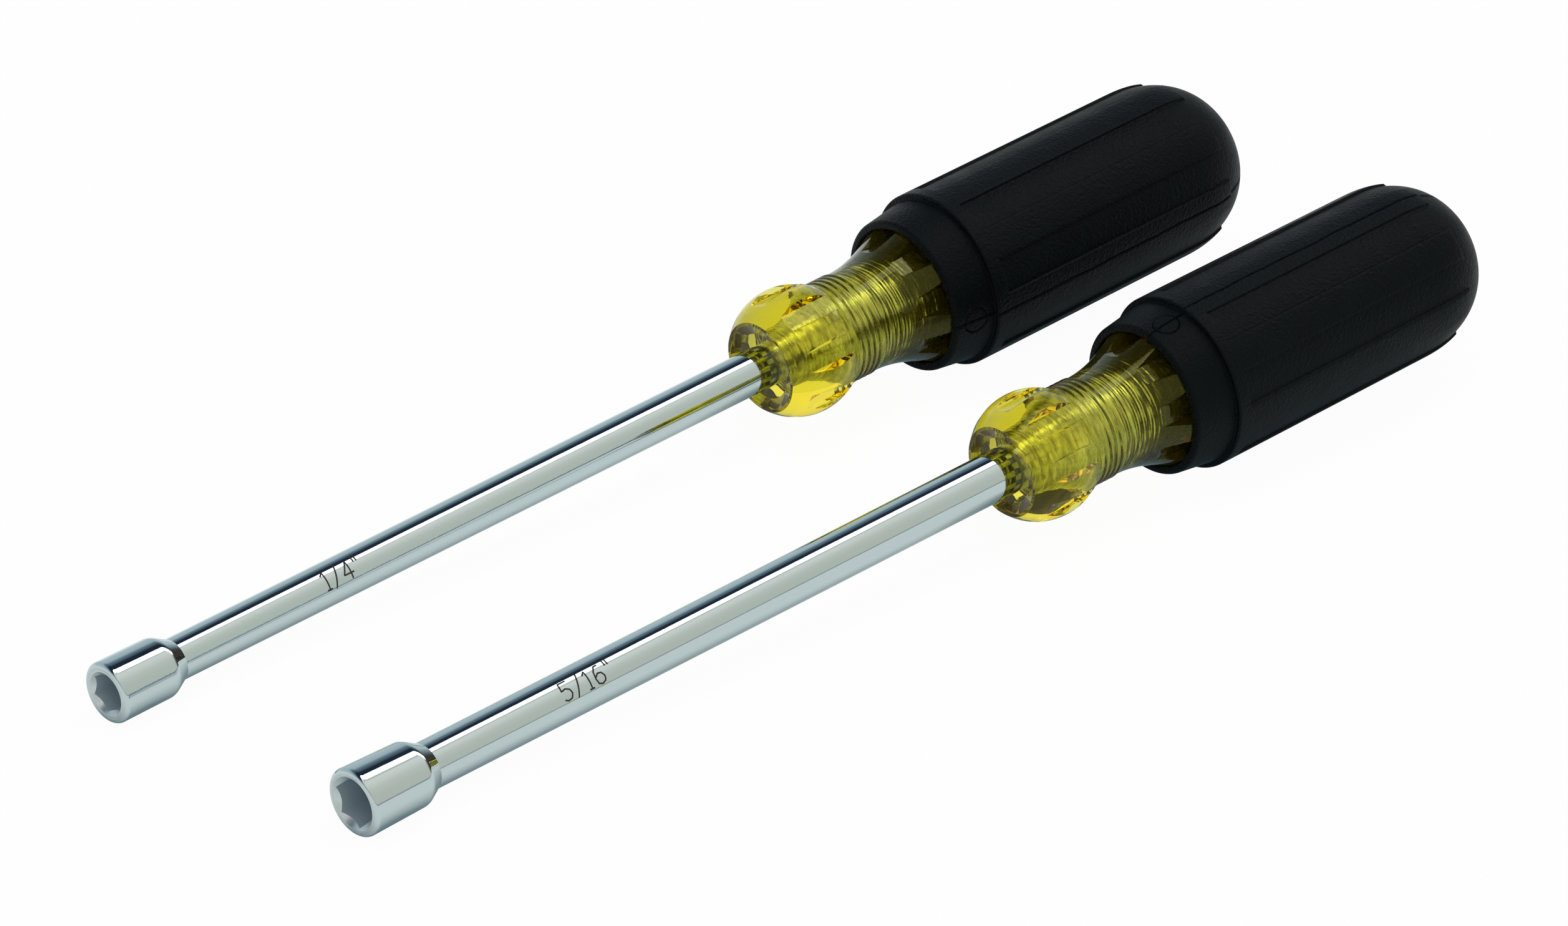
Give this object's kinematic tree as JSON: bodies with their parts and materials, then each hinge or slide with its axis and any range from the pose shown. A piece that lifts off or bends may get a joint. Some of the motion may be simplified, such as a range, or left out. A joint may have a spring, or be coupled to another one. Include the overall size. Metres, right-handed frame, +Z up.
{
  "type": "nut driver set",
  "caption": "Hand nut drivers lying side by side, each with a chromed hollow shaft and hex socket, a clear amber ball-nosed handle core and a black ribbed cushion grip",
  "frame": {"origin": "on the surface that the drivers lie on, under the middle of the set's bounding box", "axes": "+X along the drivers, from the sockets to the domed ends of the grips; +Y from the 5/16 in driver to the 1/4 in driver; +Z up"},
  "size_m": [0.2599, 0.0864, 0.0341],
  "materials": {
    "chromed_steel": "polished chrome plate, satin at the socket's mouth",
    "amber_plastic": "clear, polished",
    "black_vinyl": "matt, fine leather grain"
  },
  "bodies": {
    "root": {"shaft_5_16": "chromed_steel", "handle_core_5_16": "amber_plastic", "cushion_grip_5_16": "black_vinyl", "shaft_1_4": "chromed_steel", "handle_core_1_4": "amber_plastic", "cushion_grip_1_4": "black_vinyl"}
  },
  "joints": []
}
